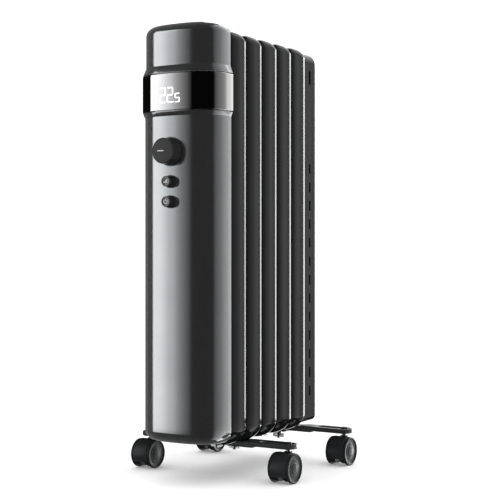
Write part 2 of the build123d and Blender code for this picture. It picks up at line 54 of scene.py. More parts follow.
def finish_mesh(name, bm, angle=32.0, body="heater_body", replaces=(), mat=None, weld=0.0):
    if weld:
        bmesh.ops.remove_doubles(bm, verts=bm.verts, dist=weld * MM)
    bmesh.ops.recalc_face_normals(bm, faces=bm.faces)
    bmesh.ops.translate(bm, verts=bm.verts, vec=(0, SHIFT_Y * MM, 0))
    me = bpy.data.meshes.new(name)
    bm.to_mesh(me)
    bm.free()
    me.polygons.foreach_set("use_smooth", [True] * len(me.polygons))
    me.set_sharp_from_angle(angle=math.radians(angle))
    ob = bpy.data.objects.new(name, me)
    bpy.context.scene.collection.objects.link(ob)
    if mat is not None:
        me.materials.append(mat)
    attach(ob, body)
    if replaces:
        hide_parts(*replaces)
    return ob


def fillet2d(pts, closed=True):
    """Polygon corners (x, y, radius[, segments]) -> dense points with rounded corners."""
    out, n = [], len(pts)
    for i, p in enumerate(pts):
        x, y = p[0], p[1]
        r = p[2] if len(p) > 2 else 0
        seg = p[3] if len(p) > 3 else 6
        if r <= 0 or (not closed and i in (0, n - 1)):
            out.append((x, y))
            continue
        a, b = Vector(pts[i - 1][:2]), Vector(pts[(i + 1) % n][:2])
        c = Vector((x, y))
        u, v = (a - c).normalized(), (b - c).normalized()
        ang = u.angle(v)
        d = r / math.tan(ang / 2)
        cen = c + (u + v).normalized() * (r / math.sin(ang / 2))
        s, e = c + u * d, c + v * d
        a0 = math.atan2(s.y - cen.y, s.x - cen.x)
        a1 = math.atan2(e.y - cen.y, e.x - cen.x)
        while a1 - a0 > math.pi:
            a1 -= 2 * math.pi
        while a1 - a0 < -math.pi:
            a1 += 2 * math.pi
        for k in range(seg + 1):
            t = a0 + (a1 - a0) * k / seg
            out.append((cen.x + r * math.cos(t), cen.y + r * math.sin(t)))
    return out


def lathe(bm, prof, axis, origin, seg=96):
    """Closed or axis-to-axis profile (r, t) turned about an axis through origin; t runs along the axis."""
    o = Vector(origin)
    ax = {"x": (Vector((0, 1, 0)), Vector((0, 0, 1)), Vector((1, 0, 0))),
          "y": (Vector((1, 0, 0)), Vector((0, 0, 1)), Vector((0, 1, 0))),
          "z": (Vector((1, 0, 0)), Vector((0, 1, 0)), Vector((0, 0, 1)))}[axis]
    rings = []
    for r, t in prof:
        if r < 1e-6:
            rings.append([bm.verts.new((o + ax[2] * t) * MM)])
        else:
            rings.append([bm.verts.new((o + ax[2] * t + ax[0] * (r * math.cos(2 * math.pi * i / seg))
                                        + ax[1] * (r * math.sin(2 * math.pi * i / seg))) * MM) for i in range(seg)])
    pairs = list(zip(rings, rings[1:]))
    if len(rings[0]) > 1 or len(rings[-1]) > 1:
        pairs.append((rings[-1], rings[0]))
    for a, b in pairs:
        for i in range(seg):
            j = (i + 1) % seg
            if len(a) == 1 and len(b) == 1:
                continue
            if len(a) == 1:
                bm.faces.new((a[0], b[i], b[j]))
            elif len(b) == 1:
                bm.faces.new((a[i], b[0], a[j]))
            else:
                bm.faces.new((a[i], b[i], b[j], a[j]))


def prism(bm, pts, place, h0, h1):
    """Prism of a 2-D outline; place(u, v, h) gives the point in millimetres."""
    lo = [bm.verts.new(Vector(place(u, v, h0)) * MM) for u, v in pts]
    hi = [bm.verts.new(Vector(place(u, v, h1)) * MM) for u, v in pts]
    n = len(pts)
    bm.faces.new(lo)
    bm.faces.new(hi)
    for i in range(n):
        j = (i + 1) % n
        bm.faces.new((lo[i], lo[j], hi[j], hi[i]))


def sweep(bm, section, frames, closed=False):
    """section: closed list of (u, v); frames: list of (origin, u-axis, v-axis)."""
    rings = []
    for o, ua, va in frames:
        rings.append([bm.verts.new((Vector(o) + Vector(ua) * u + Vector(va) * v) * MM) for u, v in section])
    n = len(section)
    pairs = list(zip(rings, rings[1:]))
    if closed:
        pairs.append((rings[-1], rings[0]))
    for a, b in pairs:
        for i in range(n):
            j = (i + 1) % n
            bm.faces.new((a[i], a[j], b[j], b[i]))
    if not closed:
        bm.faces.new(rings[0])
        bm.faces.new(list(reversed(rings[-1])))


# ----------------------------------------------------------------- materials
def nodes_of(m):
    m.use_nodes = True
    nt = m.node_tree
    nt.nodes.clear()
    out = nt.nodes.new("ShaderNodeOutputMaterial")
    b = nt.nodes.new("ShaderNodeBsdfPrincipled")
    nt.links.new(b.outputs[0], out.inputs[0])
    return nt, b


def noise(nt, scale, detail=2.0, rough=0.5, vec=None, dist=0.0):
    n = nt.nodes.new("ShaderNodeTexNoise")
    n.inputs["Scale"].default_value = scale
    n.inputs["Detail"].default_value = detail
    n.inputs["Roughness"].default_value = rough
    n.inputs["Distortion"].default_value = dist
    nt.links.new(vec, n.inputs["Vector"])
    return n.outputs["Fac"]


def ramp(nt, fac, a, b, lo=0.0, hi=1.0):
    """Map Range from lo..hi to a..b, or a colour ramp when a and b are colours."""
    if isinstance(a, (int, float)):
        n = nt.nodes.new("ShaderNodeMapRange")
        n.inputs["From Min"].default_value = lo
        n.inputs["From Max"].default_value = hi
        n.inputs["To Min"].default_value = a
        n.inputs["To Max"].default_value = b
        nt.links.new(fac, n.inputs["Value"])
        return n.outputs["Result"]
    n = nt.nodes.new("ShaderNodeValToRGB")
    n.color_ramp.elements[0].position, n.color_ramp.elements[1].position = lo, hi
    n.color_ramp.elements[0].color = (*a, 1)
    n.color_ramp.elements[1].color = (*b, 1)
    nt.links.new(fac, n.inputs["Fac"])
    return n.outputs["Color"]


def coords(nt, scale=(1, 1, 1)):
    tc = nt.nodes.new("ShaderNodeTexCoord")
    mp = nt.nodes.new("ShaderNodeMapping")
    mp.inputs["Scale"].default_value = scale
    nt.links.new(tc.outputs["Object"], mp.inputs["Vector"])
    return mp.outputs["Vector"]


def material(name, c0, c1, rough=(0.3, 0.4), metallic=0.0, grain=900.0, bump=0.05, bump_dist=0.0002,
             spec=0.5, coat=0.0, coat_rough=0.03, stretch=(1, 1, 1), blotch=14.0, ior=1.5, edge=0.0, emission=None,
             sheen=0.0, sheen_rough=0.3):
    m = bpy.data.materials.new(name)
    nt, b = nodes_of(m)
    v = coords(nt, stretch)
    big = noise(nt, blotch, 3.0, 0.55, v)
    fine = noise(nt, grain, 3.0, 0.6, v)
    col = ramp(nt, big, c0, c1, 0.3, 0.7)
    if edge > 0:
        geo = nt.nodes.new("ShaderNodeNewGeometry")
        e = ramp(nt, geo.outputs["Pointiness"], 0.0, 1.0, 0.52, 0.62)
        mx = nt.nodes.new("ShaderNodeMix")
        mx.data_type = "RGBA"
        mult = nt.nodes.new("ShaderNodeMath")
        mult.operation = "MULTIPLY"
        nt.links.new(e, mult.inputs[0])
        mult.inputs[1].default_value = edge
        nt.links.new(mult.outputs[0], mx.inputs[0])
        nt.links.new(col, mx.inputs[6])
        mx.inputs[7].default_value = (*[min(1, c * 4 + 0.02) for c in c1], 1)
        col = mx.outputs[2]
    nt.links.new(col, b.inputs["Base Color"])
    nt.links.new(ramp(nt, fine, rough[0], rough[1], 0.3, 0.7), b.inputs["Roughness"])
    b.inputs["Metallic"].default_value = metallic
    b.inputs["Specular IOR Level"].default_value = spec
    b.inputs["IOR"].default_value = ior
    b.inputs["Coat Weight"].default_value = coat
    b.inputs["Coat Roughness"].default_value = coat_rough
    b.inputs["Sheen Weight"].default_value = sheen
    b.inputs["Sheen Roughness"].default_value = sheen_rough
    if bump > 0:
        bp = nt.nodes.new("ShaderNodeBump")
        bp.inputs["Strength"].default_value = bump
        bp.inputs["Distance"].default_value = bump_dist
        nt.links.new(fine, bp.inputs["Height"])
        nt.links.new(bp.outputs[0], b.inputs["Normal"])
    if emission:
        b.inputs["Emission Color"].default_value = (*emission[0], 1)
        b.inputs["Emission Strength"].default_value = emission[1]
    return m


M = {}
M["graphite"] = material("graphite_gloss", (0.205, 0.212, 0.216), (0.22, 0.227, 0.231), (0.10, 0.14), metallic=0.95,
                         grain=5200, bump=0.03, bump_dist=0.00004, coat=0.25, coat_rough=0.04, sheen=0.25, sheen_rough=0.5)
M["lens"] = material("lens_black", (0.30, 0.30, 0.305), (0.32, 0.32, 0.325), (0.02, 0.035), metallic=1.0,
                     grain=300, bump=0.0, coat=0.0)
# the smoked band mirrors more strongly where it turns away
_nt = M["lens"].node_tree
_b = next(n for n in _nt.nodes if n.type == "BSDF_PRINCIPLED")
_src = _b.inputs["Base Color"].links[0].from_socket
_lw = _nt.nodes.new("ShaderNodeLayerWeight")
_lw.inputs["Blend"].default_value = 0.5
_up = ramp(_nt, _lw.outputs["Facing"], 0.0, 1.0, 0.33, 0.38)
_mx = _nt.nodes.new("ShaderNodeMix")
_mx.data_type = "RGBA"
_nt.links.new(_up, _mx.inputs[0])
_nt.links.new(_src, _mx.inputs[6])
_mx.inputs[7].default_value = (0.56, 0.555, 0.545, 1)
_nt.links.new(_mx.outputs[2], _b.inputs["Base Color"])
M["digit"] = material("digit_glow", (0.9, 0.92, 0.95), (1, 1, 1), (0.3, 0.4), grain=800, bump=0.0,
                      emission=((0.93, 0.96, 1.0), 1.6))
M["fin"] = material("fin_paint", (0.0044, 0.0048, 0.0050), (0.0056, 0.0060, 0.0063), (0.13, 0.145), grain=3800, bump=0.004,
                    bump_dist=0.00004, spec=0.045, edge=0.1)
M["black"] = material("control_black", (0.012, 0.012, 0.013), (0.017, 0.017, 0.018), (0.40, 0.5), grain=3500, bump=0.15,
                      bump_dist=0.00005, spec=0.3)
M["knob"] = material("knob_gloss", (0.012, 0.012, 0.013), (0.016, 0.016, 0.017), (0.16, 0.22), grain=1800, bump=0.03,
                     bump_dist=0.00003, spec=0.5, coat=0.4)
M["steel"] = material("zinc_steel", (0.50, 0.51, 0.52), (0.62, 0.62, 0.61), (0.22, 0.4), metallic=1.0, grain=1500,
                      bump=0.06, bump_dist=0.00004, stretch=(1, 1, 0.1), blotch=60)
M["caster"] = material("caster_nylon", (0.011, 0.012, 0.013), (0.017, 0.018, 0.019), (0.33, 0.45), grain=2400, bump=0.08,
                       bump_dist=0.00004, spec=0.15, edge=0.25)
M["mark"] = material("pale_print", (0.52, 0.52, 0.52), (0.6, 0.6, 0.6), (0.5, 0.6), grain=900, bump=0.0)
M["wheel"] = material("wheel_nylon", (0.010, 0.011, 0.012), (0.015, 0.016, 0.017), (0.3, 0.42), grain=2400, bump=0.08,
                      bump_dist=0.00004, spec=0.1, edge=0.2)
M["foot"] = material("foot_paint", (0.014, 0.015, 0.0155), (0.02, 0.021, 0.0215), (0.32, 0.42), grain=2600, bump=0.12,
                     bump_dist=0.00006, spec=0.4, edge=0.35)
M["board"] = material("board_green", (0.02, 0.12, 0.05), (0.03, 0.17, 0.07), (0.4, 0.5), grain=900, bump=0.05)
M["plastic"] = material("inner_plastic", (0.5, 0.5, 0.48), (0.6, 0.6, 0.58), (0.45, 0.55), grain=900, bump=0.05)
SLOT_MAT = {"graphite_gloss": "graphite", "lens_black": "lens", "digit_glow": "digit", "fin_paint": "fin",
            "control_black": "black", "knob_gloss": "knob", "steel": "steel", "caster_black": "caster",
            "board_green": "board", "inner_plastic": "plastic"}
for sp in frame["record"]["subparts"]:
    ob = N[sp["node"]]
    ob.data.materials.clear()
    ob.data.materials.append(M[SLOT_MAT[sp["material_slot"]]])

# >>>pieces
# ------------------------------------------------------------- control tower
def plan_pt(s, off, a=TW_A, b=TW_B):
    """Point on the tower's plan, grown by off; s from 0 (right back edge) to 1 (left back edge)."""
    t = math.pi * s
    c, sn = math.cos(t), math.sin(t)
    x = (a + off) * math.copysign(abs(c) ** (2 / TW_N), c)
    y = TW_YB - (b + off) * abs(sn) ** (2 / TW_N)
    return x, y


def plan_params(n=150):
    """Parameters s that space the plan's points evenly along its length."""
    m = 4000
    pts = [plan_pt(i / m, 0) for i in range(m + 1)]
    acc = [0.0]
    for p, q in zip(pts, pts[1:]):
        acc.append(acc[-1] + math.dist(p, q))
    out, j = [], 0
    for k in range(n + 1):
        want = acc[-1] * k / n
        while j < m and acc[j + 1] < want:
            j += 1
        f = 0 if acc[j + 1] == acc[j] else (want - acc[j]) / (acc[j + 1] - acc[j]) if j < m else 0
        out.append((j + f) / m)
    out[0], out[-1] = 0.0, 1.0
    return out


PLAN = plan_params()


def plan_ring(bm, off, z):
    return [bm.verts.new(Vector((*plan_pt(s, off), z)) * MM) for s in PLAN]


def skin(bm, outer, inner, closed_end=False):
    """Wall between an outer and an inner profile of (offset, z); the last ring of each may be closed over."""
    ro = [plan_ring(bm, o, z) for o, z in outer]
    ri = [plan_ring(bm, o, z) for o, z in inner]
    for rings in (ro, ri):
        for a, b in zip(rings, rings[1:]):
            for i in range(len(PLAN) - 1):
                bm.faces.new((a[i], a[i + 1], b[i + 1], b[i]))
    ends = [(ro[0], ri[0])] if closed_end else [(ro[0], ri[0]), (ro[-1], ri[-1])]
    for a, b in ends:
        for i in range(len(PLAN) - 1):
            bm.faces.new((a[i], a[i + 1], b[i + 1], b[i]))
    if closed_end:
        bm.faces.new(ro[-1])
        bm.faces.new(ri[-1])
        bm.faces.new([r[0] for r in ro] + [r[-1] for r in reversed(ro)] + [r[-1] for r in ri] + [r[0] for r in reversed(ri)])
    else:
        for e in (0, -1):
            bm.faces.new([r[e] for r in ro] + [r[e] for r in reversed(ri)])


def levels(z0, z1, step=14.0):
    n = max(1, int(round(abs(z1 - z0) / step)))
    return [z0 + (z1 - z0) * i / n for i in range(n + 1)]


Z_SEAM, BZ0, BZ1, CZ0, CZ1, TZ0, TZ1 = 517.2, 518.5, 569.3, 570.6, 581.3, 58.7, 640.0
LIP, BAND, CAP = 2.8, 3.2, -1.2
bm = bmesh.new()
wall = [(0.0, z) for z in levels(Z_SEAM - 14, TZ0 + 15)]
lipo = fillet2d([(0.8, Z_SEAM), (LIP, Z_SEAM, 0.45, 5), (0.0, Z_SEAM - 6.4, 2.5, 6), (0.0, Z_SEAM - 13.9)], closed=False)
foot_f = [(-15 + 15 * math.cos(t), TZ0 + 15 - 15 * math.sin(t)) for t in [math.pi / 2 * i / 14 for i in range(1, 15)]]
inner_w = [(-2.0, Z_SEAM)] + [(-2.5, z) for z in levels(Z_SEAM - 3, TZ0 + 15, 60)]
inner_f = [(-15 + 12.5 * math.cos(t), TZ0 + 15 - 12.5 * math.sin(t)) for t in [math.pi / 2 * i / 6 for i in range(1, 7)]]
skin(bm, lipo + wall + foot_f + [(-22.0, TZ0)], inner_w + inner_f + [(-22.0, TZ0 + 2.5)], closed_end=True)
skin(bm, [(-2.9, Z_SEAM - 8), (-2.9, BZ0 + 5)], [(-4.6, Z_SEAM - 8), (-4.6, BZ0 + 5)])
finish_mesh("tower_casing", bm, 40, replaces=["tower_shell"], mat=M["graphite"])

bm = bmesh.new()
side = fillet2d([(0.8, CZ0), (LIP, CZ0, 0.45, 5), (CAP, CZ1, 3.0, 6), (CAP, CZ1 + 3)], closed=False)
side += [(CAP, z) for z in levels(CZ1 + 6, TZ1 - 14, 10)]
head = [(CAP - 14 + 14 * math.cos(t), TZ1 - 14 + 14 * math.sin(t)) for t in [math.pi / 2 * i / 18 for i in range(1, 19)]]
iside = [(-2.0, CZ0), (CAP - 3.0, CZ1 + 2), (CAP - 3.0, TZ1 - 14)]
ihead = [(CAP - 14 + 11 * math.cos(t), TZ1 - 14 + 11.5 * math.sin(t)) for t in [math.pi / 2 * i / 6 for i in range(1, 7)]]
skin(bm, side + head + [(-20.0, TZ1)], iside + ihead + [(-20.0, TZ1 - 2.5)], closed_end=True)
skin(bm, [(-2.9, CZ0 - 6.5), (-2.9, CZ0 + 3)], [(-4.8, CZ0 - 6.5), (-4.8, CZ0 + 3)])
finish_mesh("tower_top", bm, 40, replaces=["tower_cap"], mat=M["graphite"])

bm = bmesh.new()
bo = fillet2d([(0.4, BZ0), (BAND, BZ0, 0.7, 5), (BAND, BZ0 + 3)], closed=False)
bo += [(BAND, z) for z in levels(BZ0 + 7, BZ1 - 7, 8)]
bo += fillet2d([(BAND, BZ1 - 3), (BAND, BZ1, 0.7, 5), (0.4, BZ1)], closed=False)
skin(bm, bo, [(-2.6, BZ0), (-2.6, BZ1)])
finish_mesh("display_lens", bm, 40, replaces=["display_band"], mat=M["lens"])


def front_y(x, off):
    a, b = TW_A + off, TW_B + off
    return TW_YB - b * (1 - min(1, abs(x) / a) ** TW_N) ** (1 / TW_N)


def stroke(bm, pts, wid, off, lift=0.10, deep=0.25, step=0.6):
    """Rounded line of figures on the lens: pts in (x, z), rounded corners, following the curve of the band."""
    dense = []
    for p, q in zip(pts, pts[1:]):
        n = max(1, int(math.dist(p, q) / step))
        dense += [(p[0] + (q[0] - p[0]) * i / n, p[1] + (q[1] - p[1]) * i / n) for i in range(n)]
    dense.append(pts[-1])
    rows = []
    for i, p in enumerate(dense):
        a, b = dense[max(0, i - 1)], dense[min(len(dense) - 1, i + 1)]
        t = Vector((b[0] - a[0], b[1] - a[1])).normalized()
        nrm = Vector((-t.y, t.x))
        w = wid / 2
        if i in (0, len(dense) - 1):
            w *= 0.55
        l, r = Vector(p) + nrm * w, Vector(p) - nrm * w
        row = []
        for q, h in ((l, lift), (r, lift), (r, -deep), (l, -deep)):
            row.append(bm.verts.new(Vector((q.x, front_y(q.x, off) - h, q.y)) * MM))
        rows.append(row)
    for a, b in zip(rows, rows[1:]):
        for i in range(4):
            j = (i + 1) % 4
            bm.faces.new((a[i], a[j], b[j], b[i]))
    bm.faces.new(rows[0])
    bm.faces.new(list(reversed(rows[-1])))


def figure(bm, ch, x0, z0, w, h, t):
    r = min(w, h) * 0.16
    paths = {"2": [(0, h, 0), (w, h, r), (w, h / 2, r), (0, h / 2, r), (0, 0, r), (w, 0, 0)],
             "5": [(w, h, 0), (0, h, r), (0, h / 2, r), (w, h / 2, r), (w, 0, r), (0, 0, 0)]}
    pts = [(x0 + a, z0 + b, c, 5) for a, b, c in paths[ch]]
    stroke(bm, fillet2d(pts, closed=False), t, BAND)


bm = bmesh.new()
DZ = 529.3
figure(bm, "2", -15.8, DZ, 8.6, 20.0, 1.35)
figure(bm, "2", -3.6, DZ, 8.6, 20.0, 1.35)
figure(bm, "5", 9.4, DZ, 6.6, 11.2, 1.25)
stroke(bm, [(6.8, DZ - 0.4), (6.8, DZ + 0.9)], 1.3, BAND)
finish_mesh("lit_figures", bm, 40, replaces=["display_digits"], mat=M["digit"])

# ------------------------------------------------------------ knob, buttons
KZ = 461.6
KF = -162.9
bm = bmesh.new()
yk = YF - 1.3
prof = [(0, KF + 1.2), (16.3, KF + 1.2), (16.3, KF + 0.25, 0.2, 2), (16.6, KF, 0.25, 3), (17.0, KF, 0.4, 3), (17.8, KF + 1.0, 0.9, 4),
        (17.8, KF + 6.2, 1.2, 5), (16.7, KF + 8.6, 2.0, 5), (16.7, yk - 7.2, 2.2, 5), (19.2, yk - 4.6, 1.6, 5), (19.2, yk, 0.7, 4),
        (15.2, yk), (15.2, KF + 5.0), (0, KF + 5.0)]
lathe(bm, fillet2d(prof, closed=False), "y", (0, 0, KZ), 128)
finish_mesh("knob_grip", bm, 40, body="knob", replaces=["knob"], mat=M["knob"])

bm = bmesh.new()
lathe(bm, fillet2d([(0, KF + 0.15), (15.9, KF + 0.15, 0.25, 3), (16.25, KF + 0.5, 0.15, 2), (16.25, KF + 1.3), (0, KF + 1.3)], closed=False),
      "y", (0, 0, KZ), 128)
finish_mesh("knob_disc", bm, 40, body="knob", replaces=["knob_face"], mat=M["black"])


def bar(bm, x0, x1, z0, z1, y0, y1, r=None):
    r = r if r is not None else min(x1 - x0, z1 - z0) / 2 * 0.98
    pts = fillet2d([(x0, z0, r, 5), (x1, z0, r, 5), (x1, z1, r, 5), (x0, z1, r, 5)])
    prism(bm, pts, lambda u, v, h: (u, h, v), y0, y1)


bm = bmesh.new()
bar(bm, -8.6, 1.6, KZ - 0.55, KZ + 0.55, KF + 0.06, KF + 0.4)
finish_mesh("knob_index", bm, 40, body="knob", mat=M["mark"])

for nm, bz in (("mode", 420.3), ("power", 392.5)):
    yf = YF - 13.0
    bm = bmesh.new()
    prof = [(0, yf + 0.35), (4.6, yf + 0.2, 3.0, 3), (6.5, yf, 0.5, 3), (7.3, yf + 0.3, 0.8, 5), (7.3, YF + 4.3), (8.5, YF + 4.3),
            (8.5, YF + 5.8), (2.2, YF + 5.8), (2.2, -130.6), (0, -130.6)]
    lathe(bm, fillet2d(prof, closed=False), "y", (0, 0, bz), 96)
    finish_mesh(f"{nm}_cap", bm, 40, body=f"{nm}_button", replaces=[f"{nm}_button"], mat=M["knob"])
    bm = bmesh.new()
    y0, y1 = yf + 0.02, yf + 0.6
    if nm == "power":
        n = 26
        for a0, a1, r0, r1 in ((math.radians(90 + 38), math.radians(90 + 322), 2.5, 3.15),):
            pts = [(r1 * math.cos(a0 + (a1 - a0) * i / n), bz + r1 * math.sin(a0 + (a1 - a0) * i / n)) for i in range(n + 1)]
            pts += [(r0 * math.cos(a1 + (a0 - a1) * i / n), bz + r0 * math.sin(a1 + (a0 - a1) * i / n)) for i in range(n + 1)]
            prism(bm, pts, lambda u, v, h: (u, h, v), y0, y1)
        bar(bm, -0.32, 0.32, bz + 0.6, bz + 3.6, y0, y1)
    else:
        for x, h in ((-2.2, 2.2), (-0.0, 3.6), (2.2, 5.0)):
            bar(bm, x - 0.5, x + 0.5, bz - 2.4, bz - 2.4 + h, y0, y1)
    finish_mesh(f"{nm}_icon", bm, 40, body=f"{nm}_button", mat=M["mark"])

bm = bmesh.new()
for bz in (420.3, 392.5):
    prof = [(7.6, YF + 4.0), (7.6, YF - 4.1, 0.35, 3), (8.2, YF - 4.5, 0.5, 4), (8.9, YF - 3.6, 0.9, 5), (8.9, YF + 4.0)]
    lathe(bm, fillet2d(prof, closed=False), "y", (0, 0, bz), 96)
finish_mesh("button_sleeves", bm, 40, replaces=["button_guides"], mat=M["knob"])

# --------------------------------------------------------------------- fins
FW, FT = 41.7 / 2, 1.2


def strip_section(u1=15.0, q1=math.radians(3.2), u2=19.2, q2=math.radians(8)):
    """Section of a side flange: u along Y, v outwards. Crowned, bevelled near both edges, and rolled over them."""
    r = (FW - u2) / (1 - math.sin(q2))
    v1 = -u1 * math.tan(q1 / 2)
    v2 = v1 - (u2 - u1) * math.tan(q2)
    cu, cv = FW - r, v2 - r * math.cos(q2)
    rad = u1 / math.sin(q1)

    def half(d):
        """Right half at depth d below the outside, from the middle outwards."""
        pts = [(u1 * k / 8, -rad * (1 - math.cos(q1 * k / 8))) for k in range(9)]
        pts += [(u1 + 0.25, v1 - 0.25 * math.tan(q2)), (u2 - 0.25, v2 + 0.25 * math.tan(q2))]
        pts = [(u * (1 - d * 0.012), v - d) for u, v in pts]
        q = min(d, r - 0.3)
        pts += [(cu - (d - q) + (r - q) * math.cos(a), cv - (d - q) + (r - q) * math.sin(a))
                for a in [(math.pi / 2 - q2) * (1 - k / 8) for k in range(9)]]
        return pts

    o, i = half(0.0), half(FT)
    end = -5.9
    right = o + [(FW, end), (FW - FT, end)] + list(reversed(i))
    return right + [(-u, v) for u, v in i[1:]] + [(-FW + FT, end), (-FW, end)] + [(-u, v) for u, v in reversed(o[1:])]


def flange(bm, sec, path):
    """Sweep the flange; towards both ends its edges are drawn down, so the crown grows round the corners."""
    rings = []
    for o, ua, va in path:
        drop = 4.3 * min(1.0, max(0.0, abs(va[2]) * 1.15)) ** 1.5
        rings.append([bm.verts.new((Vector(o) + Vector(ua) * u + Vector(va) * (v - drop * (abs(u) / FW) ** 3.4)) * MM) for u, v in sec])
    n = len(sec)
    for a, b in zip(rings, rings[1:]):
        for i in range(n):
            j = (i + 1) % n
            bm.faces.new((a[i], a[j], b[j], b[i]))
    bm.faces.new(rings[0])
    bm.faces.new(list(reversed(rings[-1])))


def strip_path(sgn, y, x2=FIN_X, z0=FIN_Z0, z1=FIN_Z1, rt=13.0, rb=21.0, xe=39.0):
    pts = []
    def add(x, z, nx, nz):
        pts.append(((sgn * x, y, z), (0, 1, 0), (sgn * nx, 0, nz)))
    for i in range(3):
        add(xe + (x2 - rt - xe) * i / 3, z1, 0, 1)
    for i in range(13):
        t = math.pi / 2 * i / 12
        add(x2 - rt + rt * math.sin(t), z1 - rt + rt * math.cos(t), math.sin(t), math.cos(t))
    m = 22
    for i in range(1, m):
        add(x2, z1 - rt + (z0 + rb - z1 + rt) * i / m, 1, 0)
    for i in range(15):
        t = math.pi / 2 * i / 14
        add(x2 - rb + rb * math.cos(t), z0 + rb - rb * math.sin(t), math.cos(t), -math.sin(t))
    add(xe, z0, 0, -1)
    return pts


def place_xz(y):
    return lambda u, v, h: (u, y + h, v)


def core_mesh(bm, y, x2, z0, z1, rt, rb, web=0.7):
    """Pressed web with its oil galleries and channels."""
    prism(bm, fillet2d([(-x2, z0, rb, 6), (x2, z0, rb, 6), (x2, z1, rt, 6), (-x2, z1, rt, 6)]), place_xz(y), -web, web)
    for hz in HEADER:
        sec = fillet2d([(-7.0, -18.0, 5.0, 5), (7.0, -18.0, 5.0, 5), (7.0, 18.0, 5.0, 5), (-7.0, 18.0, 5.0, 5)])
        fr = []
        for x, s in [(-50.0, 0.55), (-49.0, 0.8), (-47.0, 0.95), (-44.0, 1.0), (0, 1.0), (44.0, 1.0), (47.0, 0.95), (49.0, 0.8), (50.0, 0.55)]:
            fr.append(((x, y, hz), (0, s, 0), (0, 0, 0.6 + 0.4 * s)))
        sweep(bm, sec, fr)
    for cx in (-40.0, -14.0, 14.0, 40.0):
        sec = []
        for k in range(20):
            t = 2 * math.pi * k / 20
            c, s = math.cos(t), math.sin(t)
            sec.append((8.5 * math.copysign(abs(c) ** 0.8, c), 5.5 * math.copysign(abs(s) ** 0.9, s)))
        sweep(bm, sec, [((cx, y, z), (1, 0, 0), (0, 1, 0)) for z in (HEADER[0], 220.0, 342.7, 465.0, HEADER[1])])
    # spot welds and stiffening beads between the channels
    for bx in (-27.0, 27.0, -53.0, 53.0):
        for side in (-1, 1):
            for z in range(150, 560, 68):
                lathe(bm, [(0, side * (web + 0.35)), (1.6, side * (web + 0.25)), (2.4, side * (web - 0.05))], "y", (bx, y, z), 14)


for k in range(5):
    y = FIN_YS[k]
    bm = bmesh.new()
    sec = strip_section()
    for sgn in (-1, 1):
        flange(bm, sec, strip_path(sgn, y))
    core_mesh(bm, y, FIN_X - 0.9, FIN_Z0 + 0.9, FIN_Z1 - 0.9, 12.2, 20.2)
    finish_mesh(f"fin_{k + 1}_pressing", bm, 50, replaces=[f"fin_{k + 1}"], mat=M["fin"])

# ------------------------------------------------------------------- casters
STEM_X, FOOT_Y = 118.5, (-25.45, 146.15)
WR, BACK = 21.2, 9.0


def caster(nm, x0, y0):
    ya, za = y0 - BACK, WR
    bm = bmesh.new()
    sec = fillet2d([(-12.2, 19.4, 0.3, 2), (12.2, 19.4, 0.3, 2), (12.2, 21.9, 1.1, 4), (-12.2, 21.9, 1.1, 4)])
    fr = []
    for i in range(49):
        a = math.radians(-28 + 218 * i / 48)
        rad = Vector((0, -math.cos(a), math.sin(a)))
        fr.append(((x0, ya, za), (1, 0, 0), rad))
    sweep(bm, sec, fr)
    # centre web, a hub round the axle, and a rib along the hood's middle
    pts = [(ya - 20.2 * math.cos(math.radians(a)), za + 20.2 * math.sin(math.radians(a))) for a in range(-26, 190, 6)]
    pts += [(ya + 5.5, za - 5.0), (ya, za - 6.6), (ya - 5.5, za - 5.0)]
    prism(bm, pts, lambda u, v, h: (x0 + h, u, v), -3.0, 3.0)
    ring = []
    n = 40
    levels_ = [(5.8, None), (5.8, 42.4), (5.55, 43.1), (5.0, 43.4), (3.45, 43.4)]
    rows = []
    for r, z in levels_:
        row = []
        for i in range(n):
            t = 2 * math.pi * i / n
            px, py = r * math.cos(t), r * math.sin(t)
            off = py + BACK
            zz = z if z is not None else za + math.sqrt(20.6 ** 2 - off ** 2)
            row.append(bm.verts.new(Vector((x0 + px, y0 + py, zz)) * MM))
        rows.append(row)
    for a, b in zip(rows, rows[1:]):
        for i in range(n):
            j = (i + 1) % n
            bm.faces.new((a[i], a[j], b[j], b[i]))
    low = [bm.verts.new(Vector((x0 + 3.45 * math.cos(2 * math.pi * i / n), y0 + 3.45 * math.sin(2 * math.pi * i / n), 39.2)) * MM) for i in range(n)]
    for i in range(n):
        j = (i + 1) % n
        bm.faces.new((rows[-1][i], rows[-1][j], low[j], low[i]))
        bm.faces.new((rows[0][i], low[i], low[j], rows[0][j]))
    finish_mesh(f"{nm}_cowl", bm, 40, body=nm, replaces=[f"{nm}_hood"], mat=M["caster"])
    for w, sg in (("a", -1), ("b", 1)):
        bm = bmesh.new()
        prof = [(2.55, 3.9), (6.0, 3.9, 0.3, 2), (6.0, 5.5), (16.8, 5.5), (16.8, 4.2), (19.0, 4.2, 0.4, 3), (19.0, 12.6), (20.7, 12.6, 0.3, 3),
                (21.2, 13.1, 0.4, 3), (21.2, 15.6, 0.7, 4), (20.2, 16.6, 0.7, 4), (18.7, 16.6, 0.5, 3), (17.7, 15.3, 0.6, 3),
                (13.0, 15.0, 1.0, 3), (12.4, 15.5, 0.4, 3), (8.2, 15.5, 0.5, 3), (7.6, 16.1, 0.5, 3), (2.0, 16.4, 1.0, 3), (0, 16.3),
                (0, 14.4), (2.55, 14.4)]
        lathe(bm, [(r, sg * t) for r, t in fillet2d(prof)], "x", (x0, ya, za), 96)
        finish_mesh(f"{nm}_wheel_{w}_tread", bm, 38, body=f"{nm}_wheel_{w}", replaces=[f"{nm}_wheel_{w}"], mat=M["wheel"])


for c, (x0, y0) in {"fr": (STEM_X, FOOT_Y[0]), "fl": (-STEM_X, FOOT_Y[0]), "rr": (STEM_X, FOOT_Y[1]), "rl": (-STEM_X, FOOT_Y[1])}.items():
    caster(f"caster_{c}", x0, y0)


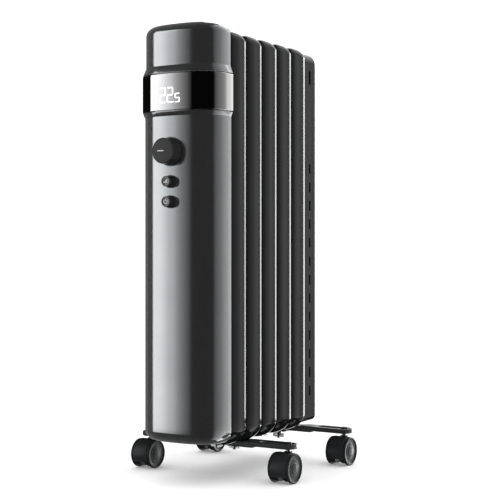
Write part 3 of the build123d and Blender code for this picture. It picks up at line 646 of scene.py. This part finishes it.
# ---------------------------------------------------------------------- feet
def stadium(x0, x1, r, n=20, flip=1):
    """Loop round a slot from x0 to x1 (centres of its ends)."""
    pts = []
    for i in range(n + 1):
        t = -math.pi / 2 + math.pi * i / n
        pts.append((x1 + r * math.cos(t), r * math.sin(t)))
    for i in range(n + 1):
        t = math.pi / 2 + math.pi * i / n
        pts.append((x0 + r * math.cos(t), r * math.sin(t)))
    return [(flip * x, y) for x, y in pts]


def rings_solid(bm, rings):
    """Stack of equal loops, closed at both ends."""
    vs = [[bm.verts.new(Vector(p) * MM) for p in r] for r in rings]
    n = len(vs[0])
    for a, b in zip(vs, vs[1:]):
        for i in range(n):
            j = (i + 1) % n
            bm.faces.new((a[i], a[j], b[j], b[i]))
    bm.faces.new(vs[0])
    bm.faces.new(vs[-1])


for nm, fy, tw in (("foot_front", FOOT_Y[0], 1), ("foot_rear", FOOT_Y[1], -1)):
    bm = bmesh.new()
    for sx in (-1, 1):
        def loop(x0, x1, r, z):
            return [(x, fy + y, z) for x, y in stadium(x0, x1, r, flip=sx)]
        rings = [loop(58, 118, 12.2, 47.0), loop(58, 118, 13.1, 47.3), loop(58, 118, 13.5, 48.2), loop(58, 118, 13.5, 52.4)]
        for k in range(1, 6):
            t = math.pi / 2 * k / 5
            rings.append(loop(58, 118, 13.5 - 1.5 * (1 - math.cos(t)), 52.5 + 1.5 * math.sin(t)))
        rings += [loop(80.5, 118.3, 9.3, 54.0), loop(82.0, 118.4, 8.8, 53.8), loop(83.0, 118.5, 8.45, 53.2), loop(83.5, 118.5, 8.2, 52.3),
                  loop(84.0, 118.5, 7.6, 52.0)]
        rings_solid(bm, rings)
    for x2, ya, yb in ((68.0, -14.0, 14.0), (31.0, 10.0, 30.4)):
        base = [(-x2, ya, 4.0, 4), (x2, ya, 4.0, 4), (x2, yb, 4.0, 4), (-x2, yb, 4.0, 4)]
        rings = []
        for ins, z in ((1.2, 45.0), (0.4, 45.3), (0.0, 46.2), (0.0, 51.4), (0.35, 52.3), (1.2, 52.7)):
            b2 = [(-x2 + ins, ya + ins, 4.0 - ins, 4), (x2 - ins, ya + ins, 4.0 - ins, 4), (x2 - ins, yb - ins, 4.0 - ins, 4), (-x2 + ins, yb - ins, 4.0 - ins, 4)]
            rings.append([(tw * x, fy + tw * y, z) for x, y in fillet2d(b2)])
        rings_solid(bm, rings)
    finish_mesh(f"{nm}_casting", bm, 40, replaces=[nm], mat=M["foot"])
# <<<pieces
# ------------------------------------------------------------ camera, stage
ANG = math.radians(31.53)
cam = bpy.data.cameras.new("cam")
cam.lens, cam.sensor_width = 88.87, 36.0
cam.shift_y = -0.00766
cam.clip_end = 60
co = bpy.data.objects.new("cam", cam)
co.location = (0.9805, -1.5357, 0.3315)
co.rotation_euler = (math.pi / 2, 0, ANG)
bpy.context.scene.collection.objects.link(co)
bpy.context.scene.camera = co
bpy.context.scene.view_settings.view_transform = "Standard"
bpy.context.scene.view_settings.look = "None"


def stage_mesh(name, verts, faces, mat):
    me = bpy.data.meshes.new(name)
    me.from_pydata(verts, [], faces)
    ob = bpy.data.objects.new(name, me)
    me.materials.append(mat)
    bpy.context.scene.collection.objects.link(ob)
    return ob


def emitter(name, stops, strength, axis=None):
    """Emission whose strength follows azimuth round the Z axis, or is even."""
    m = bpy.data.materials.new(name)
    m.use_nodes = True
    nt = m.node_tree
    nt.nodes.clear()
    out = nt.nodes.new("ShaderNodeOutputMaterial")
    e = nt.nodes.new("ShaderNodeEmission")
    nt.links.new(e.outputs[0], out.inputs[0])
    e.inputs["Strength"].default_value = strength
    if stops:
        at = nt.nodes.new("ShaderNodeAttribute")
        at.attribute_name = "az"
        cr = nt.nodes.new("ShaderNodeValToRGB")
        els = cr.color_ramp.elements
        while len(els) > 1:
            els.remove(els[-1])
        for i, (p, c) in enumerate(stops):
            el = els[0] if i == 0 else els.new(p)
            el.position = p
            el.color = (c, c, c, 1)
        nt.links.new(at.outputs["Fac"], cr.inputs["Fac"])
        nt.links.new(cr.outputs["Color"], e.inputs["Color"])
    return m


def gloss_only(ob):
    """Seen in reflections, never by the camera, and neither lighting the floor nor shading it."""
    ob.visible_camera = ob.visible_diffuse = ob.visible_shadow = ob.visible_transmission = False


def tent(name, a0, a1, stops, strength, r=2.6, z0=-0.6, z1=3.2):
    """Vertical curved card from azimuth a0 to a1 (0 is in front, + towards +X)."""
    verts, faces, n = [], [], 48
    for i in range(n + 1):
        a = math.radians(a0 + (a1 - a0) * i / n)
        for z in (z0, z1):
            verts.append((r * math.sin(a), -r * math.cos(a), z))
    for i in range(n):
        faces.append((2 * i, 2 * i + 2, 2 * i + 3, 2 * i + 1))
    ob = stage_mesh(name, verts, faces, emitter(name, stops, strength))
    at = ob.data.attributes.new("az", "FLOAT", "POINT")
    at.data.foreach_set("value", [i / n for i in range(n + 1) for _ in (0, 1)])
    gloss_only(ob)
    return ob


# floor, seen and catching shadow, but not mirrored in the gloss
fm = bpy.data.materials.new("floor")
nt, b = nodes_of(fm)
v = coords(nt)
nt.links.new(ramp(nt, noise(nt, 3.0, 2, 0.5, v), (0.925, 0.925, 0.925), (0.94, 0.94, 0.94), 0.3, 0.7), b.inputs["Base Color"])
b.inputs["Roughness"].default_value = 0.9
b.inputs["Specular IOR Level"].default_value = 0.0
fb = next(n for n in fm.node_tree.nodes if n.type == "BSDF_PRINCIPLED")
fb.inputs["Emission Color"].default_value = (1, 1, 1, 1)
fb.inputs["Emission Strength"].default_value = 0.15
floor = stage_mesh("floor", [(-30, -30, 0), (30, -30, 0), (30, 30, 0), (-30, 30, 0)], [(0, 1, 2, 3)], fm)
floor.visible_glossy = False

# dim room round the cards, for reflections only
bmd = bmesh.new()
bmesh.ops.create_icosphere(bmd, subdivisions=4, radius=28.0)
dm = bpy.data.meshes.new("room")
bmd.to_mesh(dm)
bmd.free()
dome = bpy.data.objects.new("room", dm)
dm.materials.append(emitter("room", None, 0.005))
bpy.context.scene.collection.objects.link(dome)
gloss_only(dome)

w = bpy.data.worlds.new("world")
bpy.context.scene.world = w
w.use_nodes = True
w.node_tree.nodes["Background"].inputs[0].default_value = (1, 1, 1, 1)
w.node_tree.nodes["Background"].inputs[1].default_value = 1.3

# brightness of the two long cards by azimuth in degrees
LEFT = [(-62.5, 2.2), (-60.1, 2.9), (-57, 3.5), (-53.8, 3.15), (-51.1, 3.1), (-46.6, 3.2), (-43, 3.05), (-39.8, 2.84),
        (-37.3, 2.6), (-35.4, 2.27), (-34.1, 2.08), (-33.4, 1.8), (-32.9, 1.6), (-31.9, 1.32), (-30.2, 1.08), (-28.2, 0.89),
        (-25.6, 0.72), (-22.7, 0.57), (-19.4, 0.46), (-15.7, 0.33), (-11.6, 0.228), (-7.2, 0.09), (-4.8, 0.045), (-2.3, 0)]
RIGHT = [(71, 0), (75.4, 0.05), (80.1, 0.165), (84.7, 0.245), (89.7, 0.31), (95, 0.36), (99.6, 0.43), (104.5, 0.47),
         (109.5, 0.515), (114.2, 0.585), (119, 0.71), (123.3, 0.82), (127.6, 0.9), (131.7, 0.95), (135.4, 1.04), (138.6, 1.11),
         (141.4, 1.19), (143.6, 1.34), (145.6, 1.5), (147, 2.6), (148.7, 3.5), (150.4, 2.7), (152.5, 1.3), (158, 0.5)]


def stops(table, top=1.0):
    a0, a1 = table[0][0], table[-1][0]
    return [((a - a0) / (a1 - a0), e / top) for a, e in table]


tent("card_left", LEFT[0][0], LEFT[-1][0], stops(LEFT, 3.6), 3.6, 2.6, z0=-0.42, z1=2.0)
tent("card_right", RIGHT[0][0], RIGHT[-1][0], stops(RIGHT, 3.7), 3.7, 2.6, z0=-0.4, z1=6.0)
tent("card_low", RIGHT[0][0], RIGHT[-1][0], stops(RIGHT, 3.7), 7.4, 2.6, z0=-4.0, z1=-0.4)
tent("card_rim", 161, 173, None, 19.0, z0=-0.6, z1=1.3)
tent("card_back", 150, 214, None, 3.0, z0=1.3, z1=3.8)
tent("card_behind", 180, 212, None, 1.6, z0=-1.2, z1=1.3)
